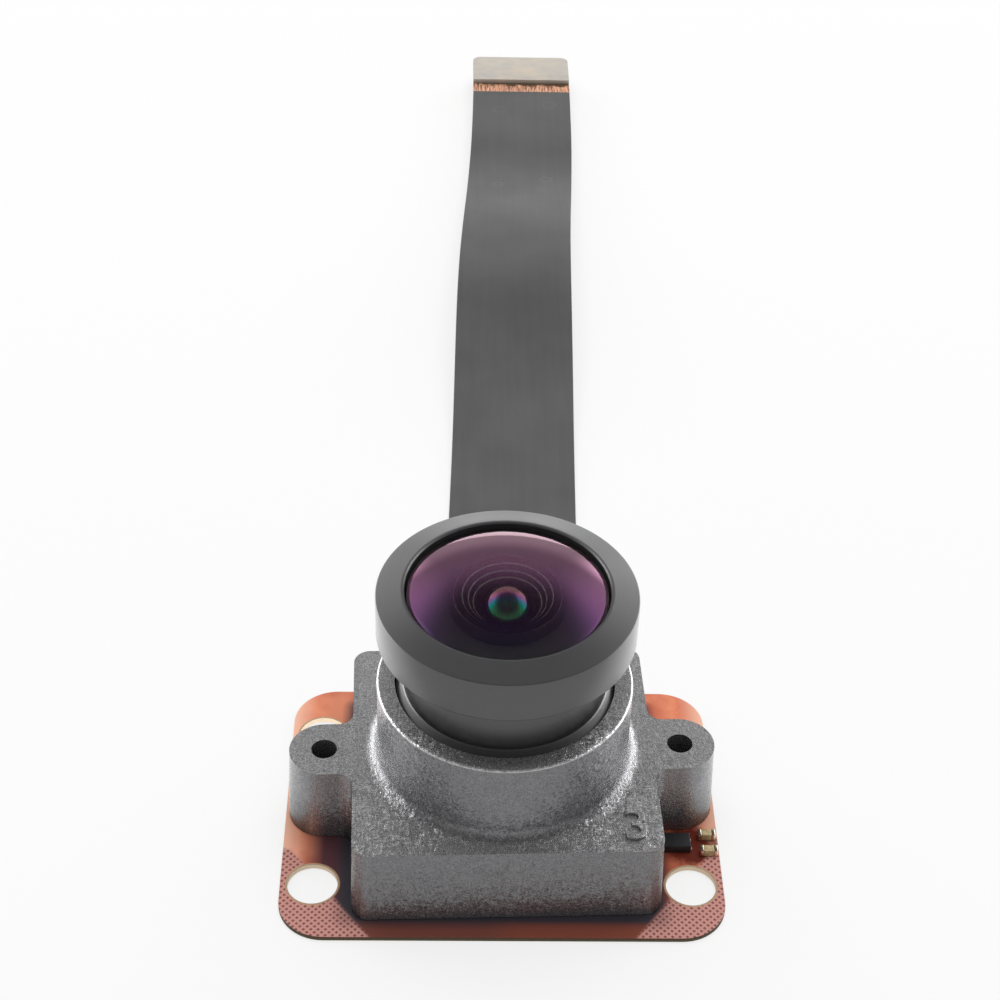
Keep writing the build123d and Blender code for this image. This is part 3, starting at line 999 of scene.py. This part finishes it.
edge_paint = grained_finish("black_edge_paint", (0.17, 0.17, 0.175), 0.6, 9.0, 0.004)
front_coating = polished_glass("front_glass_coated", (1, 1, 1), 272.0, 2.08, 1.6)
rear_coating = polished_glass("front_glass_rear", (1, 1, 1), 112.0, 1.2, 1.45)
recess_depth = 0.95
recess_radius = 2.72
glass_piece(
    "front_glass",
    [
        *ground_surface(front_seat + recess_depth, recess_radius - 0.05, 14.0, 12),
        (recess_radius, front_seat),
        (front_rim, front_seat),
        (front_rim, front_edge_top - 0.04),
        *ground_surface(front_edge_top, front_rim - 0.03, 11.5, 24, outward=False),
    ],
    (front_coating, rear_coating, edge_paint),
    "front_element",
    recess_radius,
)

# Black rings
# Dull black turned rings that space the glasses and stop stray light. The front one has steps
# that show through the front glass as thin rings.
stack_radius = 4.15
rear_base = barrel_base + rear_wall
spacer_b_base = rear_base + 1.35
fifth_base = spacer_b_base + 0.6
fourth_base = fifth_base + 0.9
stop_base = fourth_base + 1.0
third_base = stop_base + 0.15
spacer_a_base = third_base + 1.2
second_base = spacer_a_base + 0.9
baffle_base = second_base + 1.4
turret_top = front_seat + recess_depth - 0.08
turret_steps = [(2.15, 0.16), (1.84, 0.18), (1.60, 0.40)]
turret_floor = turret_top - sum(drop for radius, drop in turret_steps)
dome_radius = 1.24

matt_black, tree, shader = new_finish("matt_black_ring", (0.02, 0.02, 0.022), 0.5, IOR=1.15)
add_relief(tree, shader, noise(tree, in_millimetres(tree), 12.0), 0.005)
facing = facing_axes(tree)
# Painted highlight: the rings' slanting edges are painted light grey, so the steps show through the
# glass.
ring_edge_highlight = spread(tree, facing[2], 0.3, 0.5)
ring_edge_highlight = product(tree, ring_edge_highlight, spread(tree, facing[2], 0.95, 0.85))
tone = blend_colours(tree, ring_edge_highlight, (0.004, 0.004, 0.006), (0.60, 0.60, 0.62))
feed(shader, Base_Color=tone)

baffle_profile = [
    (stack_radius, baffle_base),
    (stack_radius, front_seat - 0.02),
    (recess_radius - 0.08, front_seat - 0.02),
    (recess_radius - 0.10, turret_top - 0.04),
    (recess_radius - 0.14, turret_top),
]
step_height = turret_top
for inner, drop in turret_steps:
    baffle_profile.append((inner + 0.05, step_height))
    baffle_profile.append((inner, step_height - 0.05))
    step_height -= drop
    baffle_profile.append((inner, step_height))
baffle_profile.append((dome_radius + 0.06, turret_floor))
baffle_profile.append((dome_radius + 0.12, turret_floor - 0.4))
baffle_profile.append((2.35, baffle_base))
baffle_profile.append((stack_radius, baffle_base))
baffle = turned_piece("stepped_baffle", baffle_profile, 128)
place_on_module(baffle, ["baffle_ring"], smooth_angle=25)
baffle.data.materials.append(matt_black)
for name, replaced, inner, base, thickness in (
    ("front_spacer", "spacer_ring_a", 1.8, spacer_a_base, 0.9),
    ("stop_ring", "aperture_stop", 1.1, stop_base, 0.15),
    ("rear_spacer", "spacer_ring_b", 2.0, spacer_b_base, 0.6),
):
    ring = turned_piece(name, ring_section(inner, stack_radius, base, base + thickness), 96)
    place_on_module(ring, [replaced])
    ring.data.materials.append(matt_black)

# Inner glasses
# Five smaller elements, stacked behind the front one; the second has a steep dome that shows in
# the middle, with a coating that reflects red above and green below.
inner_coating = polished_glass("inner_glass_coated", (1, 1, 1), 212.0, 2.65, 1.7)
tree = inner_coating.node_tree
along = split_axes(tree, in_millimetres(tree))[1]
film = spread(tree, along, -0.65, 0.05, 248.0, 200.0)
tree.links.new(film, tree.nodes["Principled BSDF"].inputs["Thin Film Thickness"])
glass_piece(
    "second_glass",
    [
        (0.03, second_base),
        (stack_radius, second_base),
        (stack_radius, baffle_base),
        (2.2, baffle_base),
        (dome_radius + 0.02, turret_floor - 0.5),
        *ground_surface(turret_floor - 0.04, dome_radius, 1.27, 16, outward=False),
    ],
    (inner_coating, inner_coating, edge_paint),
    "second_element",
    dome_radius,
)
plain_coating = polished_glass("plain_glass_coated", (0.97, 1, 0.98), 120.0, 1.38, 1.6)
for name, replaced, base, thickness, rear, front in (
    ("third_glass", "third_element", third_base, 1.2, None, (4.5, 1.4)),
    ("fourth_glass", "fourth_element", fourth_base, 1.0, (5.0, 1.4), None),
    ("fifth_glass", "fifth_element", fifth_base, 0.9, None, (5.0, 1.36)),
    ("rear_glass", "rear_element", rear_base, 1.35, (-6.0, 1.5), None),
):
    rear_points = ground_surface(base, rear[1], rear[0], 8) if rear else [(0.03, base)]
    top = base + thickness
    front_points = ground_surface(top, front[1], front[0], 8, outward=False) if front else [(0.03, top)]
    glass_piece(
        name,
        [*rear_points, (stack_radius, base), (stack_radius, top), *front_points],
        (plain_coating, plain_coating, edge_paint),
        replaced,
        1.4,
        sides=96,
    )

# Filter and sensor
# A cyan filter glass is glued under the holder's web. Below it a white ceramic tray holds the
# sensor chip under a clear lid, soldered on the board.
hidden_finishes = {
    "ir_filter": ("cyan_filter", (0.45, 0.85, 0.83), 0.02, 1.0),
    "sensor_cover_glass": ("lid_glass", (0.97, 1.0, 0.99), 0.02, 1.0),
    "sensor_package": ("white_ceramic", (0.75, 0.73, 0.68), 0.55, 0.0),
    "sensor_die": ("polished_silicon", (0.05, 0.06, 0.09), 0.12, 0.0),
}
for node_name, (name, colour, roughness, clear) in hidden_finishes.items():
    material, tree, shader = new_finish(name, colour, roughness)
    shader.inputs["Transmission Weight"].default_value = clear
    mottle = noise(tree, in_millimetres(tree), 2.0)
    mottle = spread(tree, mottle, 0.3, 0.7, roughness, roughness + 0.06)
    feed(shader, Roughness=mottle)
    dress_solid(node_name, material)

# Chip capacitors
# Two small tan ceramic blocks whose ends are dipped in metal and tinned bright, soldered side by
# side near the board's right edge.
capacitor_places = [(11.66, -2.23), (11.70, -3.42)]
capacitor_length = 1.0
capacitor_depth = 0.5
capacitor_height = 0.5
capacitor_end = 0.22

tinned, tree, shader = new_finish("bright_tin", (0.88, 0.80, 0.64), 0.28, Metallic=1.0)
dimples = noise(tree, in_millimetres(tree), 7.0, 3.0)
feed(shader, Roughness=spread(tree, dimples, 0.3, 0.7, 0.2, 0.42))
add_relief(tree, shader, dimples, 0.03, 0.6)
tan_ceramic, tree, shader = new_finish("tan_ceramic", (0.42, 0.33, 0.20), 0.35)
mottle = noise(tree, in_millimetres(tree), 5.0, 3.0)
tone = grade(tree, mottle, 0.35, 0.65, (0.50, 0.37, 0.18), (0.72, 0.57, 0.34))
feed(shader, Base_Color=tone)


def rounded_blocks(name, places, size, edge, steps=3):
    """Like blocks with rounded edges, as one piece; places are their middles."""
    blocks = []
    for place in places:
        deselect_all()
        bpy.ops.mesh.primitive_cube_add(size=1, location=place)
        block = bpy.context.object
        block.scale = size
        apply_place()
        bpy.ops.object.mode_set(mode="EDIT")
        select_whole_mesh()
        bpy.ops.mesh.bevel(offset=edge, segments=steps, affect="EDGES")
        bpy.ops.object.mode_set(mode="OBJECT")
        blocks.append(block)
    join_pieces(blocks)
    blocks[0].name = name
    blocks[0].data.name = name
    return blocks[0]


middle_height = board_top + capacitor_height / 2
end_reach = (capacitor_length - capacitor_end) / 2
bodies = rounded_blocks(
    "capacitor_blocks",
    [(x, y, middle_height) for x, y in capacitor_places],
    (capacitor_length - 2 * capacitor_end, capacitor_depth - 0.04, capacitor_height - 0.04),
    0.03,
)
place_on_module(bodies, ["capacitor_bodies"])
bodies.data.materials.append(tan_ceramic)
ends = rounded_blocks(
    "capacitor_caps",
    [(x + way * end_reach, y, middle_height) for x, y in capacitor_places for way in (-1, 1)],
    (capacitor_end, capacitor_depth, capacitor_height),
    0.07,
)
place_on_module(ends, ["capacitor_ends"])
ends.data.materials.append(tinned)

# Small chip
# A black moulded chip with two bright pads at each end, soldered between the block and the
# capacitors.
chip_middle = (9.92, -2.85)
chip_size = (1.5, 1.03, 0.55)
pad_size = (0.1, 0.22, 0.2)
pad_spacing = 0.62
chip = rounded_blocks("black_chip", [(*chip_middle, board_top + chip_size[2] / 2)], chip_size, 0.04)
place_on_module(chip, ["chip_body"])
moulding, tree, shader = new_finish("black_moulding", (0.028, 0.029, 0.031), 0.42)
speckle = noise(tree, in_millimetres(tree), 14.0, 3.0)
feed(shader, Roughness=spread(tree, speckle, 0.3, 0.7, 0.35, 0.55))
add_relief(tree, shader, speckle, 0.01, 0.6)
chip.data.materials.append(moulding)
pad_reach = (chip_size[0] + pad_size[0]) / 2
pad_places = []
for x in (-1, 1):
    for y in (-1, 1):
        pad_x = chip_middle[0] + x * pad_reach
        pad_y = chip_middle[1] + y * pad_spacing / 2
        pad_places.append((pad_x, pad_y, board_top + pad_size[2] / 2))
pads = rounded_blocks("chip_solder_pads", pad_places, pad_size, 0.03)
place_on_module(pads, ["chip_pads"])
pads.data.materials.append(tinned)

# Ribbon end
# Past the shield film the ribbon shows amber film over bare copper, then a pale plate stiffens it
# over the plug, which is soldered below with its gold contacts in two rows.
strip_start = board_back + tail_route[-1][1]
end_middle_x = tail_route[-1][0]
bare_length = 1.6
plate_length = 4.4
plate_thickness = 0.36
plate_corner = 0.7
end_length = bare_length + plate_length
end_top = plug_height + film_thickness
plate_middle = strip_start + bare_length + plate_length / 2
end_strip = punched_sheet(
    "ribbon_end_strip",
    (tail_width, end_length),
    plate_corner,
    end_top,
    film_thickness,
    middle=(end_middle_x, strip_start + end_length / 2),
    far_only=True,
)
place_on_module(end_strip, ["tail_end_flex"])
amber, tree, shader = new_finish("amber_over_copper", (0.72, 0.30, 0.11), 0.3)
where = in_millimetres(tree)
tracks = noise(tree, in_millimetres(tree, (3.6, 0.5, 1)), 1.6, 3.0, 0.6)
tone = grade(tree, tracks, 0.38, 0.60, (0.26, 0.10, 0.06), (0.92, 0.50, 0.32))
stain = noise(tree, where, 1.8, 3.0, 0.6)
along = split_axes(tree, where)[1]
near_plate = spread(tree, along, strip_start + 0.5, strip_start + bare_length)
dark_share = spread(tree, calculate(tree, "MULTIPLY_ADD", near_plate, 0.5, stain), 0.72, 0.90)
tone = blend_colours(tree, dark_share, tone, (0.10, 0.06, 0.03))
feed(shader, Base_Color=tone)
add_relief(tree, shader, tracks, 0.02, 0.5)
end_strip.data.materials.append(amber)

end_plate = punched_sheet(
    "plug_plate",
    (tail_width, plate_length),
    plate_corner,
    end_top + plate_thickness,
    plate_thickness,
    middle=(end_middle_x, plate_middle),
    edge=0.04,
    far_only=True,
)
place_on_module(end_plate, ["connector_stiffener"])
pale_plate, tree, shader = new_finish("pale_plate", (0.56, 0.52, 0.47), 0.5)
brushed = noise(tree, in_millimetres(tree, (1.0, 1.4, 1)), 0.7, 4.0, 0.6)
tone = grade(tree, brushed, 0.3, 0.7, (0.52, 0.50, 0.47), (0.66, 0.58, 0.48))
feed(shader, Base_Color=tone)
add_relief(tree, shader, brushed, 0.01, 0.5)
end_plate.data.materials.append(pale_plate)

plug_finish = grained_finish("plug_moulding", (0.03, 0.03, 0.032), 0.45, 6.0, 0.01)
gold = grained_finish("gold_plate", (0.83, 0.60, 0.25), 0.25, 6.0, 0.008, Metallic=1.0)
dress_solid("connector_body", plug_finish)
dress_solid("connector_contacts", gold)

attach(tail, "root")
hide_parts("flex_tail")
tail_length = sum((after - before).length for before, after in zip(tail_path, tail_path[1:]))
print("ribbon length in mm", tail_length / millimetre)

# Standard colours, as the materials are written
bpy.context.scene.view_settings.view_transform = "Standard"
